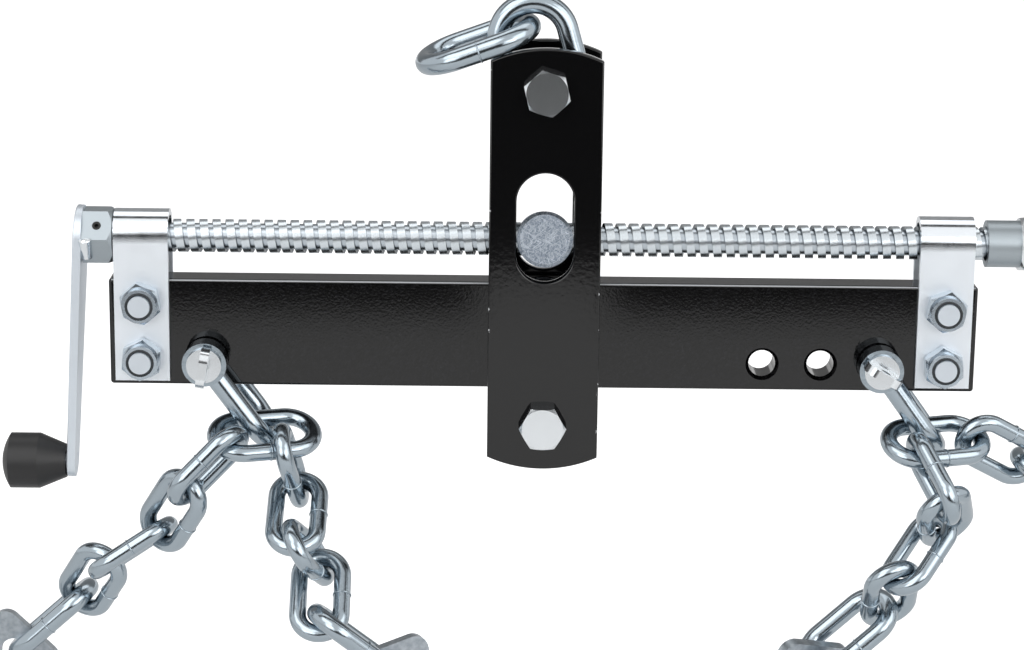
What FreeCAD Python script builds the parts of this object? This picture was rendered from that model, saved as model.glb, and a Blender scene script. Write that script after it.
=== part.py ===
import FreeCAD, Part
import math
import os

# Engine load leveler: a beam hung on a trunnion nut, two shackles and four
# chain legs. Millimetres. The origin is on the top bolt's axis, midway between
# the hanger plates; +X runs along the screw to the plain end, +Z is up.

os.makedirs("parts", exist_ok=True)
V = FreeCAD.Vector
X_AXIS = V(1, 0, 0)
Y_AXIS = V(0, 1, 0)
Z_AXIS = V(0, 0, 1)
ORIGIN = V(0, 0, 0)

# Fits
FIT = 0.05
RUN_FIT = 0.08
REST_GAP = 0.4
SEAT_GAP = 0.3
OVERRUN = 5.0

# Hanger
PLATE_WIDTH = 51.0
PLATE_THICK = 6.0
PLATE_GAP = 22.0
PLATE_CROWN = 5.6
PLATE_BELOW = 171.4
SLOT_WIDTH = 26.2
SLOT_TOP_DROP = 37.5
SLOT_FOOT_DROP = 88.6
HANGER_BOLT_DIA = 12.0
HANGER_BOLT_AF = 19.0
HANGER_HEAD = 7.5
HANGER_NUT = 10.0
BOLT_TAIL = 3.0
LOW_BOLT_DROP = 156.0
TOP_HEAD_TURN = 43.0
LOW_HEAD_TURN = 0.0

# Screw and trunnion nut
SCREW_DROP = 71.5
SCREW_DIA = 15.4
SCREW_TAIL = 1.2
TRUNNION_DIA = 25.6
TRUNNION_LENGTH = 40.0
TRUNNION_EDGE = 1.5
TRUNNION_TILT = 12.0

# Beam
BEAM_LENGTH = 400.0
BEAM_HEIGHT = 50.0
BEAM_THICK = 16.0
BEAM_EDGE = 1.5
SCREW_ABOVE_BEAM = 18.9
HOLE_DIA = 12.4
HOLE_RIM_DIA = 15.4
HOLE_RIM_DEPTH = 2.0
HOLE_UP = 12.5
SHACKLE_CLEAR = 6.5
SPARE_PITCH = 27.0

# Straps over screw and beam
STRAP_WIDTH = 25.0
STRAP_THICK = 3.0
STRAP_INSET = 2.8
STRAP_ARC_RISE = 1.5
STRAP_SHORT = 2.5
STRAP_BOLT_DIA = 10.0
STRAP_BOLT_AF = 17.0
STRAP_HEAD = 6.4
STRAP_NUT = 7.0
NUT_COLLAR_DIA = 15.6
NUT_COLLAR = 3.4
STRAP_BOLT_TAIL = 0.8
STRAP_BOLT_DROPS = (10.0, 36.6)

# Crank
COLLAR_AF = 24.0
COLLAR_LENGTH = 13.7
COLLAR_TURN = 28.0
COLLAR_PLAY = 0.5
ROLL_PIN_DIA = 4.0
ROLL_PIN_BORE = 2.0
ROLL_PIN_TURN = 32.0
ARM_THICK = 4.0
ARM_TOP_DIA = 27.4
ARM_END_DIA = 15.0
ARM_REACH = 108.9
ARM_EDGE = 0.8
ARM_LEAN = 3.3
KNOB_PIN_DIA = 8.0
KNOB_PIN_IN = 22.0
KNOB_LENGTH = 30.0
KNOB_NECK_DIA = 15.6
KNOB_DIA = 26.0
KNOB_TAPER = 12.5
KNOB_DOME = 4.0
KNOB_GAP = 0.7

# Plain end of the screw
SLEEVE_DIA = 21.7
SLEEVE_LENGTH = 15.0
SLEEVE_STAND_OFF = 6.2
END_NUT_AF = 24.0
END_NUT = 13.0
END_NUT_TURN = 15.0

# Shackles
SHACKLE_WIRE = 10.0
SHACKLE_EAR_DIA = 20.4
SHACKLE_PIN_DIA = 11.8
SHACKLE_INNER = 20.0
SHACKLE_LENGTH = 49.0
SHACKLE_TURN = -54.0
PIN_COLLAR_DIA = 16.0
PIN_COLLAR = 2.0
PIN_TAB_LENGTH = 18.0
PIN_TAB_THICK = 4.0
PIN_TAB_OUT = 10.0
PIN_TAB_EYE = 5.0
PIN_TAB_TURNS = {"left": 80.0, "right": -30.0}
PIN_TAIL = 1.0

# Chains
LINK_WIRE = 8.0
LINK_LENGTH = 48.0
LINK_WIDTH = 28.0
MASTER_LENGTH = 54.0
MASTER_WIDTH = 32.0
END_WIRE = 9.0
END_LENGTH = 55.0
END_WIDTH = 33.0
MASTER_ROUND_BOW = 60.0
MASTER_TWIST = 40.0
MASTER_SHIFT = 2.0
CROWN_TURN = 30.0
LEG_SLIDE = 4.0
TAB_THICK = 5.0
TAB_WIDTH = 38.0
TAB_LENGTH = 76.0
TAB_HOLE_DIA = 14.0
TAB_HOLE_IN = 14.0
TAB_BOLT_DIA = 13.0
TAB_BOLT_IN = 19.0

# Top links
TOP_WIRE = 10.0
TOP_LENGTH = 60.0
TOP_WIDTH = 42.0
TOP_LEAN = 106.0
HOOK_ROOM = 46.4
HOOK_POSE = (200, 0, 86)

# How each chain leg lies: for every link from the master link outwards its
# turn in the XZ plane, its tilt towards the front and its roll, degrees.
LEG_POSES = {
    "left_outer": [(225, 10, 120), (240, -25, 25), (212, 10, 105), (240, -30, 10), (222, 0, 95)],
    "left_inner": [(282, -35, 90), (268, 56, 0), (298, -52, 90), (270, 48, 0), (318, -15, 75)],
    "right_inner": [(300, 45, 72), (288, -48, -15), (230, 30, 65), (272, -38, -18), (220, 8, 65)],
    "right_outer": [(330, -15, 10), (335, 0, 95), (330, 0, 5), (330, 0, 95), (325, 0, 5)],
}
TAB_TURNS = {"left_outer": 228, "left_inner": 285, "right_inner": 255, "right_outer": 320}

# Derived heights and stations
SCREW_Z = -SCREW_DROP
BEAM_TOP = SCREW_Z - SCREW_ABOVE_BEAM
BEAM_LOW = BEAM_TOP - BEAM_HEIGHT
HOLE_Z = BEAM_LOW + HOLE_UP
PLATE_SHOULDER = TOP_LENGTH - HOOK_ROOM
PLATE_INNER = PLATE_GAP / 2
PLATE_OUTER = PLATE_INNER + PLATE_THICK
STRAP_X = BEAM_LENGTH / 2 - STRAP_INSET - STRAP_WIDTH / 2
STRAP_OUTER = BEAM_THICK / 2 + STRAP_THICK
SHACKLE_REACH = STRAP_X - STRAP_WIDTH / 2 - SHACKLE_CLEAR - SHACKLE_EAR_DIA / 2
SPARE_REACHES = (SHACKLE_REACH - SPARE_PITCH, SHACKLE_REACH - 2 * SPARE_PITCH)
COLLAR_X = -STRAP_X - STRAP_WIDTH / 2 - COLLAR_PLAY
ARM_X = COLLAR_X - COLLAR_LENGTH
SLEEVE_X = STRAP_X + STRAP_WIDTH / 2 + SLEEVE_STAND_OFF
END_NUT_X = SLEEVE_X + SLEEVE_LENGTH
SCREW_END = END_NUT_X + END_NUT + SCREW_TAIL

JOINTS = []


def export(name, shape):
    shape.exportStep("parts/" + name + ".step")


def unit(vector):
    result = V(vector)
    result.normalize()
    return result


def rod(dia, start, direction, length):
    return Part.makeCylinder(dia / 2, length, start, direction)


def hexagon(af, height, start, direction, turn, both_ends):
    # A hexagonal head or nut with its corners turned off at the outer end.
    corner = af / math.sqrt(3)
    points = []
    for step in range(7):
        angle = math.radians(60 * step)
        points.append(V(corner * math.cos(angle), corner * math.sin(angle), 0))
    prism = Part.Face(Part.makePolygon(points)).extrude(V(0, 0, height))
    drop = (corner - af / 2) * math.tan(math.radians(30)) * 2
    face_r = af / 2
    profile = [V(0, 0, 0)]
    if both_ends:
        profile += [V(face_r, 0, 0), V(corner, 0, drop)]
    else:
        profile += [V(corner, 0, 0)]
    profile += [V(corner, 0, height - drop), V(face_r, 0, height), V(0, 0, height), V(0, 0, 0)]
    turned = Part.Face(Part.makePolygon(profile)).revolve(ORIGIN, Z_AXIS, 360)
    shape = prism.common(turned)
    shape.rotate(ORIGIN, Z_AXIS, turn)
    shape.Placement = FreeCAD.Placement(start, FreeCAD.Rotation(Z_AXIS, direction)).multiply(shape.Placement)
    return shape


def ring(wire, length, width):
    # A welded chain link, long axis X, lying in the XY plane.
    half = (length - width) / 2
    radius = (width - wire) / 2
    circle = Part.makeCircle(wire / 2, V(-half, radius, 0), X_AXIS)
    section = Part.Face(Part.Wire(circle))
    upper = section.extrude(V(2 * half, 0, 0))
    left = section.revolve(V(-half, 0, 0), Z_AXIS, 180)
    lower = upper.copy()
    lower.translate(V(0, -2 * radius, 0))
    right = left.mirror(ORIGIN, X_AXIS)
    return upper.fuse([left, lower, right]).removeSplitter()


def placed(shape, centre, u, t):
    turn = FreeCAD.Rotation(u, t, u.cross(t), "XYZ")
    moved = shape.copy()
    moved.Placement = FreeCAD.Placement(centre, turn)
    return moved


def aim(turn, tilt, roll):
    # Long axis and width axis of a link.
    a = math.radians(turn)
    b = math.radians(tilt)
    c = math.radians(roll)
    u = V(math.cos(a) * math.cos(b), -math.sin(b), math.sin(a) * math.cos(b))
    flat = V(-math.sin(a), 0, math.cos(a))
    return u, flat * math.cos(c) + u.cross(flat) * math.sin(c)


def hooked(hold, hold_dir, leaving, hold_wire, u, t, wire, length):
    # Centre of a link whose near crown rests in the wire it hangs on.
    w = unit(hold_dir.cross(t))
    if w.dot(leaving + u) < 0:
        w = w * -1
    reach = (length - wire) / 2
    return hold - w * ((hold_wire + wire) / 2 + REST_GAP) + u * reach


def joint(name, kind, parent, child, pos, axis):
    JOINTS.append((name, kind, parent, child, pos, axis))


# Hanger plates
plate_half = PLATE_WIDTH / 2
crown_z = PLATE_SHOULDER + PLATE_CROWN
slot_r = SLOT_WIDTH / 2


def hanger_plate(start_y):
    top = Part.Arc(
        V(-plate_half, start_y, PLATE_SHOULDER),
        V(0, start_y, crown_z),
        V(plate_half, start_y, PLATE_SHOULDER),
    ).toShape()
    right = Part.makeLine(V(plate_half, start_y, PLATE_SHOULDER), V(plate_half, start_y, -PLATE_BELOW))
    low = Part.Arc(
        V(plate_half, start_y, -PLATE_BELOW),
        V(0, start_y, -PLATE_BELOW - PLATE_CROWN),
        V(-plate_half, start_y, -PLATE_BELOW),
    ).toShape()
    left = Part.makeLine(V(-plate_half, start_y, -PLATE_BELOW), V(-plate_half, start_y, PLATE_SHOULDER))
    blank = Part.Face(Part.Wire([top, right, low, left])).extrude(V(0, PLATE_THICK, 0))
    deep = PLATE_THICK + 2 * OVERRUN
    cut_y = start_y - OVERRUN
    slot_high = -SLOT_TOP_DROP - slot_r
    slot_low = -SLOT_FOOT_DROP + slot_r
    slot = Part.makeBox(SLOT_WIDTH, deep, slot_high - slot_low, V(-slot_r, cut_y, slot_low))
    slot = slot.fuse(rod(SLOT_WIDTH, V(0, cut_y, slot_high), Y_AXIS, deep))
    slot = slot.fuse(rod(SLOT_WIDTH, V(0, cut_y, slot_low), Y_AXIS, deep))
    blank = blank.cut(slot)
    for z in (0, -LOW_BOLT_DROP):
        blank = blank.cut(rod(HANGER_BOLT_DIA + 2 * FIT, V(0, cut_y, z), Y_AXIS, deep))
    return blank


export("hanger_plate_front", hanger_plate(-PLATE_OUTER))
export("hanger_plate_back", hanger_plate(PLATE_INNER))


def through_bolt(dia, af, head, x, z, near_y, far_y, turn):
    # Head at near_y on the outside, shank to far_y.
    side = 1 if far_y > near_y else -1
    shank = rod(dia, V(x, near_y, z), Y_AXIS * side, abs(far_y - near_y))
    return shank.fuse(hexagon(af, head, V(x, near_y, z), Y_AXIS * -side, turn, False)).removeSplitter()


for bolt, z, turn in (("top", 0, TOP_HEAD_TURN), ("low", -LOW_BOLT_DROP, LOW_HEAD_TURN)):
    tail = PLATE_OUTER + HANGER_NUT + BOLT_TAIL
    shape = through_bolt(HANGER_BOLT_DIA, HANGER_BOLT_AF, HANGER_HEAD, 0, z, -PLATE_OUTER, tail, turn)
    export("hanger_bolt_" + bolt, shape)
    nut = hexagon(HANGER_BOLT_AF, HANGER_NUT, V(0, PLATE_OUTER, z), Y_AXIS, turn, True)
    nut_long = HANGER_NUT + 2 * OVERRUN
    nut = nut.cut(rod(HANGER_BOLT_DIA + 2 * FIT, V(0, PLATE_OUTER - OVERRUN, z), Y_AXIS, nut_long))
    export("hanger_nut_" + bolt, nut)

# Trunnion nut, its front end raised in the slots
tilt = math.radians(TRUNNION_TILT)
trunnion_axis = V(0, math.cos(tilt), -math.sin(tilt))
nut_start = V(0, 0, SCREW_Z) - trunnion_axis * (TRUNNION_LENGTH / 2)
trunnion = rod(TRUNNION_DIA, nut_start, trunnion_axis, TRUNNION_LENGTH)
rims = [edge for edge in trunnion.Edges if isinstance(edge.Curve, Part.Circle)]
trunnion = trunnion.makeChamfer(TRUNNION_EDGE, rims)
bore_start = V(-TRUNNION_DIA / 2 - OVERRUN, 0, SCREW_Z)
trunnion = trunnion.cut(rod(SCREW_DIA + 2 * RUN_FIT, bore_start, X_AXIS, TRUNNION_DIA + 2 * OVERRUN))
export("trunnion_nut", trunnion)
joint("beam_tilt", "hinge", "hanger", "trunnion", V(0, 0, SCREW_Z), trunnion_axis)

# Beam
beam = Part.makeBox(BEAM_LENGTH, BEAM_THICK, BEAM_HEIGHT, V(-BEAM_LENGTH / 2, -BEAM_THICK / 2, BEAM_LOW))
beam = beam.makeFillet(BEAM_EDGE, beam.Edges)
hole_xs = [-SHACKLE_REACH, SHACKLE_REACH] + list(SPARE_REACHES)
front_y = -BEAM_THICK / 2
for x in hole_xs:
    beam = beam.cut(rod(HOLE_DIA, V(x, front_y - OVERRUN, HOLE_Z), Y_AXIS, BEAM_THICK + 2 * OVERRUN))
    rim = Part.makeCone(HOLE_RIM_DIA / 2, HOLE_DIA / 2, HOLE_RIM_DEPTH, V(x, front_y, HOLE_Z), Y_AXIS)
    beam = beam.cut(rim)
bolt_zs = [BEAM_TOP - drop for drop in STRAP_BOLT_DROPS]
strap_hole = STRAP_BOLT_DIA + 2 * FIT
for side in (-1, 1):
    for z in bolt_zs:
        start = V(side * STRAP_X, front_y - OVERRUN, z)
        beam = beam.cut(rod(strap_hole, start, Y_AXIS, BEAM_THICK + 2 * OVERRUN))
export("beam", beam)
joint("beam_travel", "slide", "trunnion", "beam", V(0, 0, SCREW_Z), X_AXIS)


# Straps
def strap(side):
    x = side * STRAP_X - STRAP_WIDTH / 2
    arc_z = SCREW_Z + STRAP_ARC_RISE
    low_z = BEAM_LOW + STRAP_SHORT
    outer = Part.makeBox(STRAP_WIDTH, 2 * STRAP_OUTER, arc_z - low_z, V(x, -STRAP_OUTER, low_z))
    outer = outer.fuse(rod(2 * STRAP_OUTER, V(x, 0, arc_z), X_AXIS, STRAP_WIDTH))
    gap_x = x - OVERRUN
    gap_long = STRAP_WIDTH + 2 * OVERRUN
    gap_z = low_z - OVERRUN
    inner = Part.makeBox(gap_long, BEAM_THICK, arc_z - gap_z, V(gap_x, -BEAM_THICK / 2, gap_z))
    inner = inner.fuse(rod(BEAM_THICK, V(gap_x, 0, arc_z), X_AXIS, gap_long))
    shape = outer.cut(inner).removeSplitter()
    for z in bolt_zs:
        start = V(side * STRAP_X, -STRAP_OUTER - OVERRUN, z)
        shape = shape.cut(rod(strap_hole, start, Y_AXIS, 2 * STRAP_OUTER + 2 * OVERRUN))
    return shape


nut_face = STRAP_OUTER + STRAP_NUT + NUT_COLLAR
for side, word in ((-1, "left"), (1, "right")):
    export("strap_" + word, strap(side))
    for z, level in zip(bolt_zs, ("upper", "lower")):
        x = side * STRAP_X
        name = word + "_" + level
        turn = 20 * side if level == "upper" else 35 * side
        bolt_end = -nut_face - STRAP_BOLT_TAIL
        bolt = through_bolt(STRAP_BOLT_DIA, STRAP_BOLT_AF, STRAP_HEAD, x, z, STRAP_OUTER, bolt_end, turn)
        export("strap_bolt_" + name, bolt)
        nut = hexagon(STRAP_BOLT_AF, STRAP_NUT, V(x, -STRAP_OUTER, z), Y_AXIS * -1, turn, True)
        nut = nut.fuse(rod(NUT_COLLAR_DIA, V(x, -STRAP_OUTER - STRAP_NUT, z), Y_AXIS * -1, NUT_COLLAR))
        nut = nut.cut(rod(strap_hole, V(x, -nut_face - OVERRUN, z), Y_AXIS, nut_face))
        export("strap_nut_" + name, nut)

# Screw with its crank
screw = rod(SCREW_DIA, V(ARM_X, 0, SCREW_Z), X_AXIS, SCREW_END - ARM_X)
pin_dir = V(0, -math.cos(math.radians(ROLL_PIN_TURN)), math.sin(math.radians(ROLL_PIN_TURN)))
pin_mid = V(COLLAR_X - COLLAR_LENGTH / 2, 0, SCREW_Z)
pin_start = pin_mid - pin_dir * (COLLAR_AF / 2)
roll_pin = rod(ROLL_PIN_DIA, pin_start, pin_dir, COLLAR_AF)
pin_cut = rod(ROLL_PIN_DIA + 2 * FIT, pin_start - pin_dir * OVERRUN, pin_dir, COLLAR_AF + 2 * OVERRUN)
export("screw", screw.cut(pin_cut))
bore = rod(ROLL_PIN_BORE, pin_start - pin_dir * OVERRUN, pin_dir, COLLAR_AF + 2 * OVERRUN)
export("roll_pin", roll_pin.cut(bore))
collar = hexagon(COLLAR_AF, COLLAR_LENGTH, V(ARM_X, 0, SCREW_Z), X_AXIS, COLLAR_TURN, False)
collar_long = COLLAR_LENGTH + 2 * OVERRUN
collar = collar.cut(rod(SCREW_DIA + 2 * FIT, V(ARM_X - OVERRUN, 0, SCREW_Z), X_AXIS, collar_long))
export("crank_collar", collar.cut(pin_cut))
joint("crank_turn", "hinge", "beam", "screw", V(0, 0, SCREW_Z), X_AXIS)


def arm_outline():
    # Tapered bar with round ends, hanging down from the screw axis.
    r0 = ARM_TOP_DIA / 2
    r1 = ARM_END_DIA / 2
    lean = math.asin((r0 - r1) / ARM_REACH)
    c = math.cos(lean)
    s = math.sin(lean)
    top = [V(0, r0 * c, -r0 * s), V(0, 0, r0), V(0, -r0 * c, -r0 * s)]
    end_y = r1 * c
    end_z = -ARM_REACH - r1 * s
    end = [V(0, -end_y, end_z), V(0, 0, -ARM_REACH - r1), V(0, end_y, end_z)]
    edges = [
        Part.Arc(*top).toShape(),
        Part.makeLine(top[2], end[0]),
        Part.Arc(*end).toShape(),
        Part.makeLine(end[2], top[0]),
    ]
    return Part.Face(Part.Wire(edges))


arm = arm_outline().extrude(V(-ARM_THICK, 0, 0))
outer_rim = [edge for edge in arm.Edges if edge.BoundBox.XMax < -ARM_THICK + FIT]
arm = arm.makeFillet(ARM_EDGE, outer_rim)
arm.rotate(ORIGIN, Y_AXIS, ARM_LEAN)
arm.translate(V(ARM_X, 0, SCREW_Z))
wedge_low = V(ARM_X, -ARM_TOP_DIA, SCREW_Z - ARM_TOP_DIA)
wedge = Part.makeBox(OVERRUN, 2 * ARM_TOP_DIA, 2 * ARM_TOP_DIA, wedge_low)
arm = arm.cut(wedge)
lean = math.radians(ARM_LEAN)
end_mid = V(ARM_X - ARM_REACH * math.sin(lean), 0, SCREW_Z - ARM_REACH * math.cos(lean))
knob_z = end_mid.z
arm_face = end_mid.x - ARM_THICK * math.cos(lean)
pin_hole = rod(KNOB_PIN_DIA + 2 * FIT, V(arm_face - OVERRUN, 0, knob_z), X_AXIS, ARM_THICK + 2 * OVERRUN)
export("crank_arm", arm.cut(pin_hole))
knob_x = arm_face - KNOB_GAP
pin_end = knob_x - KNOB_PIN_IN
export("knob_pin", rod(KNOB_PIN_DIA, V(pin_end, 0, knob_z), X_AXIS, end_mid.x - pin_end))

neck_r = KNOB_NECK_DIA / 2
knob_r = KNOB_DIA / 2
dome_x = -KNOB_LENGTH + KNOB_DOME
dome_r = (knob_r ** 2 + KNOB_DOME ** 2) / (2 * KNOB_DOME)
dome_half = math.asin(knob_r / dome_r) / 2
dome_mid = V(-KNOB_LENGTH + dome_r * (1 - math.cos(dome_half)), 0, dome_r * math.sin(dome_half))
knob_wire = [
    Part.makeLine(V(0, 0, 0), V(0, 0, neck_r)),
    Part.makeLine(V(0, 0, neck_r), V(-KNOB_TAPER, 0, knob_r)),
    Part.makeLine(V(-KNOB_TAPER, 0, knob_r), V(dome_x, 0, knob_r)),
    Part.Arc(V(dome_x, 0, knob_r), dome_mid, V(-KNOB_LENGTH, 0, 0)).toShape(),
    Part.makeLine(V(-KNOB_LENGTH, 0, 0), V(0, 0, 0)),
]
knob = Part.Face(Part.Wire(knob_wire)).revolve(ORIGIN, X_AXIS, 360)
knob.translate(V(knob_x, 0, knob_z))
knob_bore = rod(KNOB_PIN_DIA + 2 * RUN_FIT, V(pin_end - SEAT_GAP, 0, knob_z), X_AXIS, KNOB_PIN_IN + OVERRUN)
export("crank_knob", knob.cut(knob_bore))
joint("knob_spin", "hinge", "screw", "knob", V(knob_x, 0, knob_z), X_AXIS)

# Sleeve and nut at the plain end
sleeve = rod(SLEEVE_DIA, V(SLEEVE_X, 0, SCREW_Z), X_AXIS, SLEEVE_LENGTH)
sleeve_long = SLEEVE_LENGTH + 2 * OVERRUN
end_cut = rod(SCREW_DIA + 2 * SEAT_GAP, V(SLEEVE_X - OVERRUN, 0, SCREW_Z), X_AXIS, sleeve_long)
export("end_sleeve", sleeve.cut(end_cut))
end_nut = hexagon(END_NUT_AF, END_NUT, V(END_NUT_X, 0, SCREW_Z), X_AXIS, END_NUT_TURN, True)
nut_cut = rod(SCREW_DIA + 2 * FIT, V(END_NUT_X - OVERRUN, 0, SCREW_Z), X_AXIS, END_NUT + 2 * OVERRUN)
export("end_nut", end_nut.cut(nut_cut))

# Shackles
bow_r = (SHACKLE_INNER + SHACKLE_WIRE) / 2
ear_outer = bow_r + SHACKLE_WIRE / 2


def shackle(pin, u):
    legs = []
    bow_mid = pin + u * (SHACKLE_LENGTH - bow_r)
    section_at = bow_mid - Y_AXIS * bow_r
    section = Part.Face(Part.Wire(Part.makeCircle(SHACKLE_WIRE / 2, section_at, u)))
    bow = section.revolve(bow_mid, u.cross(Y_AXIS), 180)
    if (bow.CenterOfMass - bow_mid).dot(u) < 0:
        bow = section.revolve(bow_mid, u.cross(Y_AXIS), -180)
    for side in (-1, 1):
        foot = pin + Y_AXIS * (side * bow_r)
        legs.append(rod(SHACKLE_WIRE, foot, u, SHACKLE_LENGTH - bow_r))
        start = pin + Y_AXIS * (side * bow_r - SHACKLE_WIRE / 2)
        legs.append(rod(SHACKLE_EAR_DIA, start, Y_AXIS, SHACKLE_WIRE))
    body = bow.fuse(legs).removeSplitter()
    hole_half = ear_outer + OVERRUN
    hole = rod(SHACKLE_PIN_DIA + 2 * FIT, pin - Y_AXIS * hole_half, Y_AXIS, 2 * hole_half)
    return body.cut(hole)


def shackle_pin(pin, tab_turn):
    collar_y = -ear_outer - PIN_COLLAR
    shape = rod(SHACKLE_PIN_DIA, pin - Y_AXIS * ear_outer, Y_AXIS, 2 * ear_outer + PIN_TAIL)
    shape = shape.fuse(rod(PIN_COLLAR_DIA, pin + Y_AXIS * collar_y, Y_AXIS, PIN_COLLAR))
    tab_low = V(-PIN_TAB_LENGTH / 2, collar_y - PIN_TAB_OUT, -PIN_TAB_THICK / 2)
    tab = Part.makeBox(PIN_TAB_LENGTH, PIN_TAB_OUT, PIN_TAB_THICK, tab_low)
    upright = [edge for edge in tab.Edges if edge.BoundBox.ZLength > PIN_TAB_THICK - FIT]
    outer = [edge for edge in upright if edge.BoundBox.YMax < collar_y - FIT]
    tab = tab.makeFillet(PIN_TAB_OUT / 2, outer)
    eye = rod(PIN_TAB_EYE, V(0, collar_y - PIN_TAB_OUT / 2, -PIN_TAB_THICK), Z_AXIS, 2 * PIN_TAB_THICK)
    tab = tab.cut(eye)
    tab.rotate(ORIGIN, Y_AXIS, -tab_turn)
    tab.translate(pin)
    return shape.fuse(tab).removeSplitter()


def master(pin, s):
    # The long link that encloses the front quarter of a shackle's bow.
    q = math.radians(MASTER_ROUND_BOW)
    bow_mid = pin + s * (SHACKLE_LENGTH - bow_r)
    on_bow = bow_mid + s * (bow_r * math.cos(q)) - Y_AXIS * (bow_r * math.sin(q))
    along = s * math.sin(q) + Y_AXIS * math.cos(q)
    inward = Y_AXIS * math.sin(q) - s * math.cos(q)
    level = Y_AXIS.cross(s)
    if level.x < 0:
        level = level * -1
    twist = math.radians(MASTER_TWIST)
    u = level * math.cos(twist) + along * math.sin(twist)
    back = (SHACKLE_WIRE + LINK_WIRE) / 2 + REST_GAP - (MASTER_WIDTH - LINK_WIRE) / 2
    centre = on_bow + inward * back + u * MASTER_SHIFT
    return centre, u, inward, on_bow, along


link = ring(LINK_WIRE, LINK_LENGTH, LINK_WIDTH)
end_link = ring(END_WIRE, END_LENGTH, END_WIDTH)
master_link = ring(LINK_WIRE, MASTER_LENGTH, MASTER_WIDTH)

plate_low = V(-TAB_HOLE_IN, -TAB_WIDTH / 2, -TAB_THICK / 2)
tab_plate = Part.makeBox(TAB_LENGTH, TAB_WIDTH, TAB_THICK, plate_low)
corners = [edge for edge in tab_plate.Edges if edge.BoundBox.ZLength > TAB_THICK - FIT]
tab_plate = tab_plate.makeFillet(TAB_HOLE_IN / 2, corners)
tab_bolt_x = TAB_LENGTH - TAB_HOLE_IN - TAB_BOLT_IN
for x, dia in ((0, TAB_HOLE_DIA), (tab_bolt_x, TAB_BOLT_DIA)):
    tab_plate = tab_plate.cut(rod(dia, V(x, 0, -TAB_THICK), Z_AXIS, 2 * TAB_THICK))
BOLT_HOLES = []


def leg(name, first_parent, hold, hold_dir, leaving):
    # One chain leg: links, the larger end link and the bolt-on end plate.
    poses = LEG_POSES[name]
    parent = first_parent
    wire_on = LINK_WIRE
    sign = 1
    for number, pose in enumerate(poses, 1):
        last = number == len(poses)
        wire = END_WIRE if last else LINK_WIRE
        length = END_LENGTH if last else LINK_LENGTH
        u, t = aim(*pose)
        centre = hooked(hold, hold_dir, leaving, wire_on, u, t, wire, length)
        node = name + ("_end_link" if last else "_link_" + str(number))
        export(node, placed(end_link if last else link, centre, u, t))
        joint(node + "_swing", "hinge", parent, node, hold, hold_dir * sign)
        sign = -sign
        hold = centre + u * ((length - wire) / 2)
        hold_dir = t
        leaving = u
        wire_on = wire
        parent = node
    wanted, flat = aim(TAB_TURNS[name], 0, 0)
    run = unit(wanted - hold_dir * wanted.dot(hold_dir))
    hole = hold + run * ((TAB_HOLE_DIA - END_WIRE) / 2 - REST_GAP)
    node = name + "_end_plate"
    export(node, placed(tab_plate, hole, run, hold_dir.cross(run)))
    joint(node + "_swing", "hinge", parent, node, hold, hold_dir * sign)
    BOLT_HOLES.append((node, hole + run * tab_bolt_x, hold_dir))


for side, word in ((-1, "left"), (1, "right")):
    pin = V(side * SHACKLE_REACH, 0, HOLE_Z)
    s, flat = aim(SHACKLE_TURN, 0, 0)
    export("shackle_" + word, shackle(pin, s))
    export("shackle_pin_" + word, shackle_pin(pin, PIN_TAB_TURNS[word]))
    joint("shackle_" + word + "_swing", "hinge", "beam", "shackle_" + word, pin, Y_AXIS)
    centre, u, t, on_bow, along = master(pin, s)
    node = "master_link_" + word
    export(node, placed(master_link, centre, u, t))
    joint(node + "_swing", "hinge", "shackle_" + word, node, on_bow, along)
    straight = (MASTER_LENGTH - MASTER_WIDTH) / 2
    radius = (MASTER_WIDTH - LINK_WIRE) / 2
    slide = math.radians(CROWN_TURN)
    out = u * -math.sin(slide) - t * math.cos(slide)
    near = centre - u * straight + out * radius
    near_dir = u * math.cos(slide) - t * math.sin(slide)
    if word == "left":
        leg("left_outer", node, near, near_dir, out - Z_AXIS)
        leg("left_inner", node, centre - t * radius + u * LEG_SLIDE, u, Z_AXIS * -1)
    else:
        leg("right_inner", node, near, near_dir, out - Z_AXIS)
        leg("right_outer", node, centre + u * (straight + radius), t, u)

# Top links
top_link = ring(TOP_WIRE, TOP_LENGTH, TOP_WIDTH)
lift, cross = aim(TOP_LEAN, 0, 0)
top_centre = lift * ((TOP_LENGTH - TOP_WIRE) / 2 - (HANGER_BOLT_DIA + TOP_WIRE) / 2 - REST_GAP)
export("top_link", placed(top_link, top_centre, lift, cross))
joint("top_link_swing", "hinge", "hanger", "top_link", ORIGIN, Y_AXIS)
hold = top_centre + lift * ((TOP_LENGTH - TOP_WIRE) / 2)
u, t = aim(*HOOK_POSE)
hook_centre = hooked(hold, cross, lift, TOP_WIRE, u, t, TOP_WIRE, TOP_LENGTH)
export("hook_link", placed(top_link, hook_centre, u, t))
crown_mid = top_centre + lift * ((TOP_LENGTH - TOP_WIDTH) / 2)
joint("hook_link_swing", "hinge", "top_link", "hook_link", crown_mid, Y_AXIS)

for name, kind, parent, child, pos, axis in JOINTS:
    print("JOINT", name, kind, parent, child, *["%.5f" % value for value in (*pos, *axis)])
for name, pos, axis in BOLT_HOLES:
    print("BORE", name, *["%.5f" % value for value in (*pos, *axis)])
print("CENTRE hook_link", *["%.5f" % value for value in hook_centre])
print("CENTRE top_link", *["%.5f" % value for value in top_centre])
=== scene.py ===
import math

import bpy
import numpy as np
from mathutils import Matrix, Vector


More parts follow.
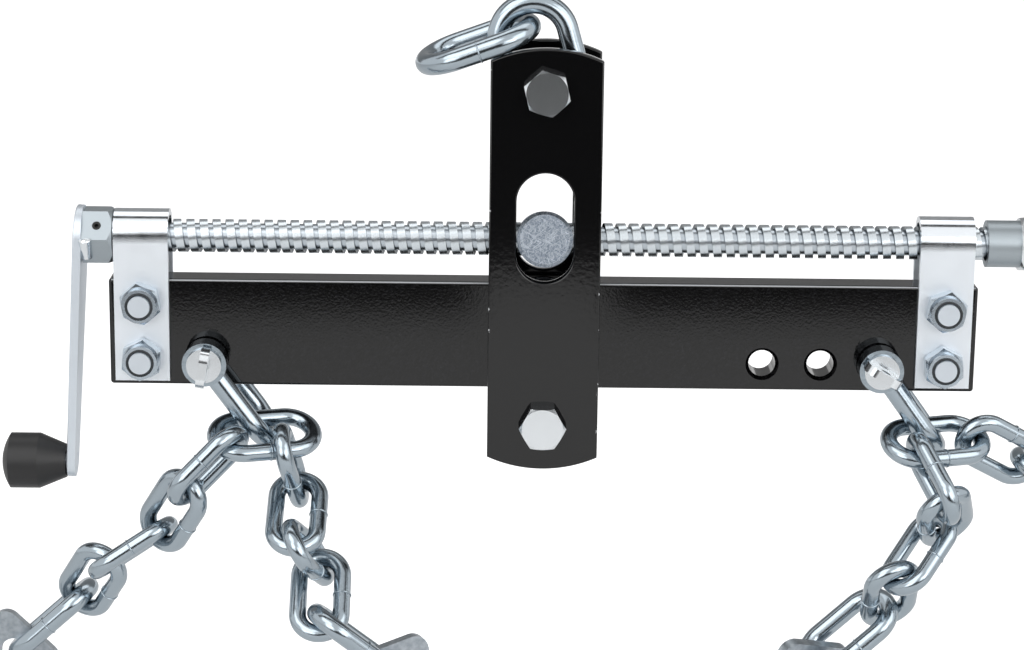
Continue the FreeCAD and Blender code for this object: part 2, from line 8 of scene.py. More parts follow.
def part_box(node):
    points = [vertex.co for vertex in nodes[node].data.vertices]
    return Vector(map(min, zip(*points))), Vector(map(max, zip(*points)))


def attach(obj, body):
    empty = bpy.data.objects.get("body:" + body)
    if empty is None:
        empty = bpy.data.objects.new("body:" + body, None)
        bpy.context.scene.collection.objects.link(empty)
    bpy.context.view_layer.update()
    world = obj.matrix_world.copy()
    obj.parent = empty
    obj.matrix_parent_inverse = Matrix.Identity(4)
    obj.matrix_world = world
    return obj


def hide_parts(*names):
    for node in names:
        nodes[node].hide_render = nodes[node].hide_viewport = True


# Engine load leveler. Metres, in the frame of the CAD model: the origin is on
# the hanger's top bolt, +X runs along the screw away from the crank, +Z is up.

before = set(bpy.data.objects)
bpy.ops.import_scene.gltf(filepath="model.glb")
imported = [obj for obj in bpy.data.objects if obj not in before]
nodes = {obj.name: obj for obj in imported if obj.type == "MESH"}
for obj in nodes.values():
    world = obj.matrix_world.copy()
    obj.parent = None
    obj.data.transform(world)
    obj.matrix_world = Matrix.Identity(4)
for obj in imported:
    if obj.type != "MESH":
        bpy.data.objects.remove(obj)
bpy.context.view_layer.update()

MM = 0.001

# Camera, fitted to the photograph's straps, nuts, plates and screw
IMAGE_WIDTH_PX = 1024
FOCAL_PX = 2891.4
SENSOR_WIDTH_MM = 36.0
CAMERA_PLACE = Vector((-24.29, -1300.0, 218.5)) * MM
CAMERA_PITCH = 0.2493
CAMERA_YAW = -0.0076
CAMERA_ROLL = 0.0121
CAMERA_SIGHT = 100.0

# Hanger plates
PLATE_WIDTH = 51.0 * MM
PLATE_THICK = 6.0 * MM
PLATE_GAP = 22.0 * MM
PLATE_SHOULDER = 13.6 * MM
PLATE_CROWN = 5.6 * MM
PLATE_BELOW = 171.4 * MM
PLATE_EDGE = 0.7 * MM
PLATE_EDGE_STEPS = 2
ARCH_STEPS = 40
SLOT_WIDTH = 26.2 * MM
SLOT_TOP = -37.5 * MM
SLOT_FOOT = -88.6 * MM
SLOT_STEPS = 24
HANGER_HOLE = 12.1 * MM
HANGER_HOLE_SIDES = 36
LOW_BOLT_Z = -156.0 * MM

# Wear of the enamel: chips on the plates' sides. The beam's upper edges get a painted highlight.
# Each pair says where a mark begins and where it is full.
CHIP_SIZE = 6.0 * MM
CHIP_LEVELS = (0.645, 0.67)
CHIP_FROM_SIDE = (0.9 * MM, 0.3 * MM)
EDGE_HIGHLIGHT_FROM_CORNER = (1.0 * MM, 0.9 * MM)

# Plating of rolled strip. The bend's levels are from the screw's axis.
STRIP_CLOUD = 5.0 * MM
STRIP_CLOUD_HEIGHT = 0.006 * MM
STRIP_ROUGHNESS = (0.4, 0.52)
STRAP_BEND = (-2.0 * MM, 1.0 * MM)
STRAP_BEND_SHEEN = 0.3

# Saw strokes on the trunnion nut's ends
SAW_LEANS = (25, -40, 80)
SAW_STROKE = (3.0 * MM, 3.0 * MM, 0.5 * MM)

# Screw
SCREW_Z = -71.5 * MM
SCREW_CREST = 15.4 * MM
SCREW_ROOT = 11.8 * MM
SCREW_SIDES = 48
THREAD_PITCH = 6.0 * MM
THREAD_CREST_WIDTH = 2.5 * MM
THREAD_FOOT_WIDTH = 3.7 * MM
THREAD_STEPS = 40
THREAD_SHARP = math.radians(35)

# Welds between the crank's arm and its collar. Ripple, fullness and tip are
# shares of the radius, and bluntness is the power that rounds the ends.
CRANK_WELD_RADIUS = 3.0 * MM
CRANK_WELD_START = Vector((-209.6, -13.6, -70.6)) * MM
CRANK_WELD_END = Vector((-209.6, -8.9, -79.6)) * MM
CRANK_WELD_STEPS = 48
CRANK_WELD_SIDES = 20
CRANK_WELD_RIPPLES = 4
CRANK_WELD_RIPPLE = 0.2
CRANK_WELD_FULLNESS = 1.7
CRANK_WELD_BLUNTNESS = 0.4
CRANK_WELD_TIP = 0.2

# Lock nuts of the straps
NYLON_INNER = 10.4 * MM
NYLON_OUTER = 12.8 * MM
NYLON_PROUD = 0.25 * MM
NYLON_SIDES = 48

# Chains: wire, length and width of each kind of link. The share of the width
# that is bent stays just under half, so that an end's two bends don't meet.
LINK_SIZES = {
    "link": (8.0 * MM, 48.0 * MM, 28.0 * MM),
    "master": (8.0 * MM, 54.0 * MM, 32.0 * MM),
    "end": (8.9 * MM, 55.0 * MM, 33.0 * MM),
    "top": (10.0 * MM, 60.0 * MM, 42.0 * MM),
}
LINK_BEND_SHARE = 0.4999
LINK_BEND_STEPS = 14
LINK_STEPS = 220
WIRE_SIDES = 28
WELD_SWELL = 0.04
WELD_HALF = 1.4 * MM
WELD_SEAM = 0.4 * MM
WELD_SEAM_SIDES = 8
LEGS = ("left_outer", "left_inner", "right_inner", "right_outer")
LINKS_PER_LEG = 4

# Studio, with each card given by two opposite corners
FLOOR_Z = -0.45
FLOOR_HALF = 6.0
FLOOR_SHINE = 0.22
FLOOR_GLOW = 0.8
FLAG_HALF = 3.0
FRONT_FLAG = ((-FLAG_HALF, -5.0, -0.44), (FLAG_HALF, -1.35, -0.44))
FAR_FLAG = ((-FLAG_HALF, -5.0, -0.44), (FLAG_HALF, -5.0, 0.9))
BACK_FLAG = ((-FLAG_HALF, 2.0, 0.1), (FLAG_HALF, 2.0, 3.2))
ROOF_FLAG = ((-FLAG_HALF, -0.4, 1.9), (FLAG_HALF, 0.1, 1.9))
LENS_CARD = ((-0.04, -1.52, -0.435), (0.09, -0.7, -0.435))
WORLD_FILL = 0.45
LAMP_AIM = Vector((0.0, 0.0, -0.1))


def linear(code):
    """An sRGB hex colour as linear red, green, blue and alpha."""
    values = []
    for start in (0, 2, 4):
        c = int(code[start:start + 2], 16) / 255
        values.append(c / 12.92 if c <= 0.04045 else ((c + 0.055) / 1.055) ** 2.4)
    return (*values, 1.0)


def add(tree, kind, links=None, **settings):
    """Adds a node: settings go to its properties, links to its inputs as values or sockets."""
    made = tree.nodes.new(kind)
    for name, value in settings.items():
        setattr(made, name, value)
    for name, value in (links or {}).items():
        socket = made.inputs[name]
        if isinstance(value, bpy.types.NodeSocket):
            tree.links.new(value, socket)
        else:
            socket.default_value = value
    return made


def surface(name, **values):
    """A material with a Principled shader; returns it with its tree and shader."""
    material = bpy.data.materials.new(name)
    material.use_nodes = True
    tree = material.node_tree
    shader = tree.nodes["Principled BSDF"]
    for socket, value in values.items():
        shader.inputs[socket.replace("_", " ")].default_value = value
    return material, tree, shader


def ripple(tree, shader, size, height, detail=2.0):
    """Bumps the surface with a noise whose features have the given size, in metres."""
    place = add(tree, "ShaderNodeTexCoord")
    noise = add(
        tree,
        "ShaderNodeTexNoise",
        {"Vector": place.outputs["Object"], "Scale": 1 / size, "Detail": detail},
    )
    bump = add(
        tree,
        "ShaderNodeBump",
        {"Height": noise.outputs["Fac"], "Distance": height, "Strength": 1.0},
    )
    tree.links.new(bump.outputs["Normal"], shader.inputs["Normal"])
    return noise


def clouded(tree, shader):
    """The faint clouds of plating on rolled strip; returns their roughness."""
    cloud = ripple(tree, shader, STRIP_CLOUD, STRIP_CLOUD_HEIGHT, detail=3.0)
    smooth, dull = STRIP_ROUGHNESS
    tone = add(
        tree,
        "ShaderNodeMapRange",
        {"Value": cloud.outputs["Fac"], "To Min": smooth, "To Max": dull},
    )
    return tone.outputs["Result"]


# Stoved gloss enamel on flat bar: deep black and mirror-like, with the fine
# ripple of sprayed paint in its reflections, and a few chips along the sides.
enamel, tree, shader = surface("gloss_black_enamel", Roughness=0.07, IOR=1.5)
ripple(tree, shader, size=2.2 * MM, height=0.018 * MM)
spot = add(tree, "ShaderNodeTexCoord")
offset = add(tree, "ShaderNodeSeparateXYZ", {"Vector": spot.outputs["Object"]})
aside = add(tree, "ShaderNodeMath", {0: offset.outputs["X"]}, operation="ABSOLUTE")
rim = add(
    tree,
    "ShaderNodeMapRange",
    {
        "Value": aside.outputs[0],
        "From Min": PLATE_WIDTH / 2 - CHIP_FROM_SIDE[0],
        "From Max": PLATE_WIDTH / 2 - CHIP_FROM_SIDE[1],
    },
)
knocks = add(
    tree,
    "ShaderNodeTexNoise",
    {"Vector": spot.outputs["Object"], "Scale": 1 / CHIP_SIZE, "Detail": 4.0},
)
chipped = add(
    tree,
    "ShaderNodeMapRange",
    {"Value": knocks.outputs["Fac"], "From Min": CHIP_LEVELS[0], "From Max": CHIP_LEVELS[1]},
)
chips = add(
    tree,
    "ShaderNodeMath",
    {0: rim.outputs["Result"], 1: chipped.outputs["Result"]},
    operation="MULTIPLY",
)
coat = add(
    tree,
    "ShaderNodeMixRGB",
    {"Fac": chips.outputs[0], "Color1": linear("0A0A0B"), "Color2": linear("C4C7C9")},
)
tree.links.new(coat.outputs["Color"], shader.inputs["Base Color"])

# The same enamel on the beam, laid on thicker: a plain orange peel, with a pale
# painted highlight where it rounds the upper edges.
beam_enamel, tree, shader = surface("orange_peel_enamel", Roughness=0.07, IOR=1.5)
peel = ripple(tree, shader, size=1.1 * MM, height=0.011 * MM)
fleck = add(tree, "ShaderNodeValToRGB", {"Fac": peel.outputs["Fac"]})
hollow, crest = fleck.color_ramp.elements
hollow.position, hollow.color = 0.5, linear("030303")
crest.position, crest.color = 0.72, linear("17171A")
beam_low, beam_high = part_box("beam")
spot = add(tree, "ShaderNodeTexCoord")
from_middle = add(
    tree,
    "ShaderNodeVectorMath",
    {0: spot.outputs["Object"], 1: (beam_low + beam_high) / 2},
    operation="SUBTRACT",
)
offset = add(tree, "ShaderNodeSeparateXYZ", {"Vector": from_middle.outputs["Vector"]})
depth = add(tree, "ShaderNodeMath", {0: offset.outputs["Y"]}, operation="ABSOLUTE")
corner = add(
    tree,
    "ShaderNodeMath",
    {0: depth.outputs[0], 1: offset.outputs["Z"]},
    operation="ADD",
)
corner_size = (beam_high.y - beam_low.y + beam_high.z - beam_low.z) / 2
# Painted highlight: pale grey on the beam's rounded upper edges only.
painted_edge_highlight = add(
    tree,
    "ShaderNodeMapRange",
    {
        "Value": corner.outputs[0],
        "From Min": corner_size - EDGE_HIGHLIGHT_FROM_CORNER[0],
        "From Max": corner_size - EDGE_HIGHLIGHT_FROM_CORNER[1],
    },
)
coat = add(
    tree,
    "ShaderNodeMixRGB",
    {"Fac": painted_edge_highlight.outputs["Result"], "Color1": fleck.outputs["Color"], "Color2": linear("B4B7BA")},
)
tree.links.new(coat.outputs["Color"], shader.inputs["Base Color"])

# Bright zinc plate on drawn wire: a blue-grey mirror with soft waves.
zinc_wire, tree, shader = surface(
    "zinc_plated_wire", Base_Color=linear("A6B1B9"), Metallic=1.0, Roughness=0.18
)
ripple(tree, shader, size=5.0 * MM, height=0.06 * MM)

# Bright zinc plate on bolts, nuts and turned parts: crisp, slightly soft in
# its reflections.
zinc_turned, tree, shader = surface(
    "zinc_plated_turned", Base_Color=linear("E4E8EB"), Metallic=1.0, Roughness=0.2
)
ripple(tree, shader, size=2.0 * MM, height=0.006 * MM)

# Zinc plate on the straps' cold-formed lock nuts: icy grey, with soft dents
# from the press.
zinc_nut, tree, shader = surface(
    "zinc_plated_nut", Base_Color=linear("BCC6CF"), Metallic=1.0, Roughness=0.2
)
ripple(tree, shader, size=1.5 * MM, height=0.012 * MM)

# Zinc plate on cold-rolled strip: satin, faintly clouded where the plating
# varies.
zinc_strip, tree, shader = surface(
    "zinc_plated_strip", Base_Color=linear("D8DFE6"), Metallic=1.0, Roughness=0.46
)
tree.links.new(clouded(tree, shader), shader.inputs["Roughness"])

# Zinc plate on the end plates' hot-rolled bar: greyer, with a low mottle from
# the mill scale under it.
zinc_flat, tree, shader = surface("zinc_plated_flat_bar", Metallic=1.0, Roughness=0.36)
mottle = ripple(tree, shader, size=3.0 * MM, height=0.02 * MM, detail=3.0)
scale_tone = add(tree, "ShaderNodeValToRGB", {"Fac": mottle.outputs["Fac"]})
hollow, crest = scale_tone.color_ramp.elements
hollow.position, hollow.color = 0.35, linear("99A1A8")
crest.position, crest.color = 0.65, linear("B2B9BF")
tree.links.new(scale_tone.outputs["Color"], shader.inputs["Base Color"])

# The straps' strip, drawn smooth and bright where it is bent over the screw.
zinc_strap, tree, shader = surface(
    "zinc_plated_strap", Base_Color=linear("F0F5FA"), Metallic=1.0, Roughness=0.46
)
tone = clouded(tree, shader)
spot = add(tree, "ShaderNodeTexCoord")
level = add(tree, "ShaderNodeSeparateXYZ", {"Vector": spot.outputs["Object"]})
bent = add(
    tree,
    "ShaderNodeMapRange",
    {
        "Value": level.outputs["Z"],
        "From Min": SCREW_Z + STRAP_BEND[0],
        "From Max": SCREW_Z + STRAP_BEND[1],
        "To Max": STRAP_BEND_SHEEN,
    },
)
sheen = add(tree, "ShaderNodeMath", {0: tone, 1: bent.outputs["Result"]}, operation="SUBTRACT")
tree.links.new(sheen.outputs[0], shader.inputs["Roughness"])

# Zinc plate on the screw's rolled thread: crisp and bright. The flanks between
# crest and root carry painted shade, and the crest a slight painted highlight.
zinc_thread, tree, shader = surface("zinc_plated_thread", Metallic=1.0, Roughness=0.27)
ripple(tree, shader, size=2.5 * MM, height=0.02 * MM)
spot = add(tree, "ShaderNodeTexCoord")
off_axis = add(
    tree,
    "ShaderNodeVectorMath",
    {0: spot.outputs["Object"], 1: (0, 0, SCREW_Z)},
    operation="SUBTRACT",
)
across = add(
    tree,
    "ShaderNodeVectorMath",
    {0: off_axis.outputs["Vector"], 1: (0, 1, 1)},
    operation="MULTIPLY",
)
reach = add(tree, "ShaderNodeVectorMath", {0: across.outputs["Vector"]}, operation="LENGTH")
flank = add(
    tree,
    "ShaderNodeMapRange",
    {"Value": reach.outputs["Value"], "From Min": SCREW_ROOT / 2, "From Max": SCREW_CREST / 2},
)
# Painted shade on the flanks, and the crest painted lighter than the root as a highlight.
painted_thread_shading = add(tree, "ShaderNodeValToRGB", {"Fac": flank.outputs["Result"]})
ramp = painted_thread_shading.color_ramp
ramp.elements[0].position, ramp.elements[0].color = 0.02, linear("BCC4CB")
ramp.elements[1].position, ramp.elements[1].color = 0.95, linear("D4DBE0")
for position in (0.08, 0.88):
    ramp.elements.new(position).color = linear("5F676D")
tree.links.new(painted_thread_shading.outputs["Color"], shader.inputs["Base Color"])

# Zinc plate on the screw's forged collar and sleeve: dull and grainy.
zinc_forged, tree, shader = surface(
    "zinc_plated_forging", Base_Color=linear("A6AEB3"), Metallic=1.0, Roughness=0.42
)
ripple(tree, shader, size=0.8 * MM, height=0.012 * MM, detail=3.0)

# Sawn and plated bar end: a fine bright speckle, drawn coarser than real grit
# so that it shows, and crossed by the saw's strokes.
zinc_sawn, tree, shader = surface("zinc_plated_sawn", Metallic=1.0, Roughness=0.36)
grit = ripple(tree, shader, size=0.5 * MM, height=0.016 * MM, detail=3.0)
spot = add(tree, "ShaderNodeTexCoord")
strokes = grit.outputs["Fac"]
for lean in SAW_LEANS:
    turned = add(
        tree,
        "ShaderNodeMapping",
        {
            "Vector": spot.outputs["Object"],
            "Rotation": (0, math.radians(lean), 0),
            "Scale": SAW_STROKE,
        },
        vector_type="TEXTURE",
    )
    stroke = add(
        tree,
        "ShaderNodeTexNoise",
        {"Vector": turned.outputs["Vector"], "Scale": 1.0, "Detail": 2.0},
    )
    longest = add(
        tree,
        "ShaderNodeMath",
        {0: strokes, 1: stroke.outputs["Fac"]},
        operation="MAXIMUM",
    )
    strokes = longest.outputs[0]
speckle = add(tree, "ShaderNodeValToRGB", {"Fac": strokes})
hollow, crest = speckle.color_ramp.elements
hollow.position, hollow.color = 0.5, linear("737E8B")
crest.position, crest.color = 0.74, linear("CBD2DB")
tree.links.new(speckle.outputs["Color"], shader.inputs["Base Color"])

# Moulded black plastic: dull, with a broad soft highlight.
knob_plastic, tree, shader = surface(
    "moulded_black_plastic", Base_Color=linear("1B1B1C"), Roughness=0.45
)
ripple(tree, shader, size=1.2 * MM, height=0.03 * MM)

# Nylon insert of a lock nut: dark, waxy.
nylon, tree, shader = surface("nylon_insert", Base_Color=linear("23282C"), Roughness=0.5)

# Spring pin, black oxide: its split bore swallows the light.
black_oxide, tree, shader = surface(
    "black_oxide_steel", Base_Color=linear("0A0A0A"), Roughness=0.5
)


def new_tree(name, *sizes):
    """An empty geometry node tree with named size inputs and a mesh output."""
    made = bpy.data.node_groups.new(name, "GeometryNodeTree")
    made.interface.new_socket("Geometry", in_out="OUTPUT", socket_type="NodeSocketGeometry")
    for size in sizes:
        made.interface.new_socket(size, in_out="INPUT", socket_type="NodeSocketFloat")
    return made, made.nodes.new("NodeGroupInput").outputs


def close_tree(made, geometry, material):
    """Ends a tree: smooth faces, plain mesh, material."""
    smooth = add(made, "GeometryNodeSetShadeSmooth", {"Geometry": geometry})
    real = add(made, "GeometryNodeRealizeInstances", {"Geometry": smooth.outputs["Geometry"]})
    coat = add(
        made,
        "GeometryNodeSetMaterial",
        {"Geometry": real.outputs["Geometry"], "Material": material},
    )
    out = made.nodes.new("NodeGroupOutput")
    made.links.new(coat.outputs["Geometry"], out.inputs["Geometry"])


def grown(name, made, **sizes):
    """The plain mesh that a tree gives for these sizes."""
    holder = bpy.data.objects.new(name, bpy.data.meshes.new(name))
    bpy.context.scene.collection.objects.link(holder)
    modifier = holder.modifiers.new("shape", "NODES")
    modifier.node_group = made
    for item in made.interface.items_tree:
        if item.in_out == "INPUT":
            modifier[item.identifier] = sizes[item.name.replace(" ", "_")]
    ready = holder.evaluated_get(bpy.context.evaluated_depsgraph_get())
    mesh = bpy.data.meshes.new_from_object(ready)
    holder.modifiers.clear()
    bpy.data.objects.remove(holder)
    mesh.name = name
    return mesh


def piece(name, mesh, body, slot, *replaced):
    """Shows a finished mesh as a piece of a body, in place of CAD nodes where it has any."""
    made = bpy.data.objects.new(name, mesh)
    bpy.context.scene.collection.objects.link(made)
    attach(made, body)
    if replaced:
        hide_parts(*replaced)


def joined(*meshes):
    """One mesh of several, each with one material."""
    vertices = []
    faces = []
    smooth = []
    slots = []
    for mesh in meshes:
        start = len(vertices)
        vertices += [v.co.copy() for v in mesh.vertices]
        faces += [[start + i for i in p.vertices] for p in mesh.polygons]
        smooth += [p.use_smooth for p in mesh.polygons]
        slots += [mesh.materials[p.material_index] for p in mesh.polygons]
    result = bpy.data.meshes.new(meshes[0].name)
    result.from_pydata(vertices, [], faces)
    kinds = list(dict.fromkeys(slots))
    for kind in kinds:
        result.materials.append(kind)
    for polygon, soft, kind in zip(result.polygons, smooth, slots):
        polygon.use_smooth = soft
        polygon.material_index = kinds.index(kind)
    return result


# Hanger plates: flat bar with an arched top and foot, slot and bolt holes, and
# the rounded edges that catch the light.
def arc_points(centre, radius, start, end, count):
    """Points on an arc between two angles in degrees, both ends included."""
    angles = [math.radians(start + (end - start) * i / count) for i in range(count + 1)]
    return [
        (centre[0] + radius * math.cos(a), centre[1] + radius * math.sin(a)) for a in angles
    ]


def arch(sign, half, shoulder, rise):
    """The bowed end of a plate, from one side to the other."""
    radius = (half ** 2 + rise ** 2) / (2 * rise)
    span = math.degrees(math.asin(half / radius))
    middle = shoulder + rise - radius
    bow = arc_points((0, 0), radius, 90 + span, 90 - span, ARCH_STEPS)
    return [(x, sign * (middle + y)) for x, y in bow]


def flat_bar(name, outline, holes, thick, edge, material):
    """A plate in the XZ plane, centred on Y, with rounded edges."""
    curve = bpy.data.curves.new(name, "CURVE")
    curve.dimensions = "2D"
    curve.fill_mode = "BOTH"
    curve.extrude = thick / 2 - edge
    curve.bevel_depth = edge
    curve.bevel_resolution = PLATE_EDGE_STEPS
    curve.offset = -edge
    for loop in (outline, *holes):
        spline = curve.splines.new("POLY")
        spline.points.add(len(loop) - 1)
        for point, (x, z) in zip(spline.points, loop):
            point.co = (x, z, 0, 1)
        spline.use_cyclic_u = True
    holder = bpy.data.objects.new(name, curve)
    bpy.context.scene.collection.objects.link(holder)
    ready = holder.evaluated_get(bpy.context.evaluated_depsgraph_get())
    mesh = bpy.data.meshes.new_from_object(ready)
    bpy.data.objects.remove(holder)
    mesh.transform(Matrix.Rotation(math.pi / 2, 4, "X"))
    mesh.materials.clear()
    mesh.materials.append(material)
    mesh.name = name
    return mesh


half = PLATE_WIDTH / 2
plate_top = arch(1, half, PLATE_SHOULDER, PLATE_CROWN)
plate_foot = arch(-1, half, PLATE_BELOW, PLATE_CROWN)
plate_outline = plate_top + plate_foot[::-1]
slot_r = SLOT_WIDTH / 2
slot_top = arc_points((0, SLOT_TOP - slot_r), slot_r, 0, 180, SLOT_STEPS)
slot_foot = arc_points((0, SLOT_FOOT + slot_r), slot_r, 180, 360, SLOT_STEPS)
plate_holes = [slot_top + slot_foot]
last_angle = 360 - 360 / HANGER_HOLE_SIDES
for z in (0, LOW_BOLT_Z):
    hole = arc_points((0, z), HANGER_HOLE / 2, 0, last_angle, HANGER_HOLE_SIDES - 1)
    plate_holes.append(hole)
for side, word in ((-1, "front"), (1, "back")):
    name = "hanger_plate_" + word
    mesh = flat_bar(
        "enamelled_" + name, plate_outline, plate_holes, PLATE_THICK, PLATE_EDGE, enamel
    )
    mesh.transform(Matrix.Translation((0, side * (PLATE_GAP + PLATE_THICK) / 2, 0)))
    piece("enamelled_" + name, mesh, "hanger", "black_paint", name)

# Screw: a coarse square-shouldered thread, swept along a helix on its core.
thread, size = new_tree(
    "coarse_thread", "Root", "Crest", "Pitch", "Length", "Crest Width", "Foot Width"
)
turns = add(thread, "ShaderNodeMath", {0: size["Length"], 1: size["Pitch"]}, operation="DIVIDE")
half_sum = add(thread, "ShaderNodeMath", {0: size["Root"], 1: size["Crest"]}, operation="ADD")
mid_radius = add(
    thread, "ShaderNodeMath", {0: half_sum.outputs[0], 1: 0.25}, operation="MULTIPLY"
)
root_radius = add(thread, "ShaderNodeMath", {0: size["Root"], 1: 0.5}, operation="MULTIPLY")
depth = add(
    thread,
    "ShaderNodeMath",
    {0: mid_radius.outputs[0], 1: root_radius.outputs[0]},
    operation="SUBTRACT",
)
height = add(thread, "ShaderNodeMath", {0: depth.outputs[0], 1: 2.0}, operation="MULTIPLY")
helix = add(
    thread,
    "GeometryNodeCurveSpiral",
    {
        "Resolution": THREAD_STEPS,
        "Rotations": turns.outputs[0],
        "Start Radius": mid_radius.outputs[0],
        "End Radius": mid_radius.outputs[0],
        "Height": size["Length"],
        "Reverse": True,
    },
)
upright = add(
    thread, "GeometryNodeSetCurveNormal", {"Curve": helix.outputs["Curve"]}, mode="Z_UP"
)
form = add(
    thread,
    "GeometryNodeCurvePrimitiveQuadrilateral",
    {
        "Height": height.outputs[0],
        "Bottom Width": size["Foot Width"],
        "Top Width": size["Crest Width"],
        "Offset": 0.0,
    },
    mode="TRAPEZOID",
)
turned = add(
    thread,
    "GeometryNodeTransform",
    {"Geometry": form.outputs["Curve"], "Rotation": (0, 0, math.radians(90))},
)
ridge = add(
    thread,
    "GeometryNodeCurveToMesh",
    {
        "Curve": upright.outputs["Curve"],
        "Profile Curve": turned.outputs["Geometry"],
        "Fill Caps": True,
    },
)
core = add(
    thread,
    "GeometryNodeMeshCylinder",
    {"Vertices": SCREW_SIDES, "Radius": root_radius.outputs[0], "Depth": size["Length"]},
)
half_length = add(thread, "ShaderNodeMath", {0: size["Length"], 1: 0.5}, operation="MULTIPLY")
core_mid = add(thread, "ShaderNodeCombineXYZ", {"Z": half_length.outputs[0]})
core_up = add(
    thread,
    "GeometryNodeTransform",
    {"Geometry": core.outputs["Mesh"], "Translation": core_mid.outputs["Vector"]},
)
whole = add(thread, "GeometryNodeJoinGeometry")
thread.links.new(ridge.outputs["Mesh"], whole.inputs["Geometry"])
thread.links.new(core_up.outputs["Geometry"], whole.inputs["Geometry"])
close_tree(thread, whole.outputs["Geometry"], zinc_thread)

screw_low, screw_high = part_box("screw")
screw_run = screw_high.x - screw_low.x - 2 * THREAD_FOOT_WIDTH
screw_mesh = grown(
    "threaded_screw",
    thread,
    Root=SCREW_ROOT,
    Crest=SCREW_CREST,
    Pitch=THREAD_PITCH,
    Length=screw_run,
    Crest_Width=THREAD_CREST_WIDTH,
    Foot_Width=THREAD_FOOT_WIDTH,
)
along_x = Matrix.Rotation(math.pi / 2, 4, "Y")
screw_start = Matrix.Translation((screw_low.x + THREAD_FOOT_WIDTH, 0, SCREW_Z))
screw_mesh.transform(screw_start @ along_x)
screw_mesh.set_sharp_from_angle(angle=THREAD_SHARP)
piece("threaded_screw", screw_mesh, "screw", "zinc_steel", "screw")

# Welds that hold the arm to the collar: short rippled beads, front and back.
bead, size = new_tree("weld_bead", "Length", "Radius")
bead_end = add(bead, "ShaderNodeCombineXYZ", {"Z": size["Length"]})
run = add(bead, "GeometryNodeCurvePrimitiveLine", {"End": bead_end.outputs["Vector"]})
run = add(
    bead,
    "GeometryNodeResampleCurve",
    {"Curve": run.outputs["Curve"], "Count": CRANK_WELD_STEPS},
    mode="COUNT",
)
part_way = add(bead, "GeometryNodeSplineParameter").outputs["Factor"]
left_over = add(bead, "ShaderNodeMath", {0: 1.0, 1: part_way}, operation="SUBTRACT")
hump = add(bead, "ShaderNodeMath", {0: part_way, 1: left_over.outputs[0]}, operation="MULTIPLY")
hump = add(
    bead,
    "ShaderNodeMath",
    {0: hump.outputs[0], 1: CRANK_WELD_BLUNTNESS},
    operation="POWER",
)
wave = add(
    bead,
    "ShaderNodeMath",
    {0: part_way, 1: CRANK_WELD_RIPPLES * 2 * math.pi},
    operation="MULTIPLY",
)
wave = add(bead, "ShaderNodeMath", {0: wave.outputs[0]}, operation="SINE")
wave = add(
    bead,
    "ShaderNodeMath",
    {0: wave.outputs[0], 1: CRANK_WELD_RIPPLE, 2: CRANK_WELD_FULLNESS},
    operation="MULTIPLY_ADD",
)
swollen = add(
    bead,
    "ShaderNodeMath",
    {0: hump.outputs[0], 1: wave.outputs[0]},
    operation="MULTIPLY",
)
swollen = add(
    bead,
    "ShaderNodeMath",
    {0: swollen.outputs[0], 1: CRANK_WELD_TIP},
    operation="MAXIMUM",
)
run = add(
    bead,
    "GeometryNodeSetCurveRadius",
    {"Curve": run.outputs["Curve"], "Radius": swollen.outputs[0]},
)
round_bead = add(
    bead,
    "GeometryNodeCurvePrimitiveCircle",
    {"Resolution": CRANK_WELD_SIDES, "Radius": size["Radius"]},
)
laid = add(
    bead,
    "GeometryNodeCurveToMesh",
    {
        "Curve": run.outputs["Curve"],
        "Profile Curve": round_bead.outputs["Curve"],
        "Fill Caps": True,
    },
)
close_tree(bead, laid.outputs["Mesh"], zinc_turned)
bead_way = CRANK_WELD_END - CRANK_WELD_START
bead_turn = bead_way.to_track_quat("Z", "X").to_matrix().to_4x4()
crank_axis = Matrix.Translation((0, 0, SCREW_Z))
beads = []
for half_turn in (0, math.pi):
    mesh = grown("crank_welds", bead, Length=bead_way.length, Radius=CRANK_WELD_RADIUS)
    mesh.transform(Matrix.Translation(CRANK_WELD_START) @ bead_turn)
    mesh.transform(crank_axis @ Matrix.Rotation(half_turn, 4, "X") @ crank_axis.inverted())
    beads.append(mesh)
piece("crank_welds", joined(*beads), "screw", "zinc_steel")

# Chain links: round wire swept round a long loop, swollen where it was welded.
loop, size = new_tree(
    "welded_link", "Wire", "Length", "Width", "Weld Swell", "Weld Half", "Weld Seam"
)
loop_length = add(
    loop, "ShaderNodeMath", {0: size["Length"], 1: size["Wire"]}, operation="SUBTRACT"
)
loop_width = add(
    loop, "ShaderNodeMath", {0: size["Width"], 1: size["Wire"]}, operation="SUBTRACT"
)
bend = add(
    loop, "ShaderNodeMath", {0: loop_width.outputs[0], 1: LINK_BEND_SHARE}, operation="MULTIPLY"
)
frame_loop = add(
    loop,
    "GeometryNodeCurvePrimitiveQuadrilateral",
    {"Width": loop_length.outputs[0], "Height": loop_width.outputs[0]},
)
rounded = add(
    loop,
    "GeometryNodeFilletCurve",
    {
        "Curve": frame_loop.outputs["Curve"],
        "Radius": bend.outputs[0],
        "Count": LINK_BEND_STEPS,
    },
    mode="POLY",
)
even = add(
    loop,
    "GeometryNodeResampleCurve",
    {"Curve": rounded.outputs["Curve"], "Count": LINK_STEPS},
    mode="COUNT",
)
place = add(loop, "GeometryNodeInputPosition")
apart = add(loop, "ShaderNodeSeparateXYZ", {"Vector": place.outputs["Position"]})
far = add(loop, "ShaderNodeMath", {0: apart.outputs["X"]}, operation="ABSOLUTE")
near_weld = add(
    loop,
    "ShaderNodeMapRange",
    {
        "Value": far.outputs[0],
        "From Min": 0.0,
        "From Max": size["Weld Half"],
        "To Min": 1.0,
        "To Max": 0.0,
    },
    interpolation_type="SMOOTHSTEP",
)
upper_side = add(
    loop, "ShaderNodeMath", {0: apart.outputs["Y"], 1: 0.0}, operation="GREATER_THAN"
)
on_weld = add(
    loop,
    "ShaderNodeMath",
    {0: near_weld.outputs["Result"], 1: upper_side.outputs[0]},
    operation="MULTIPLY",
)
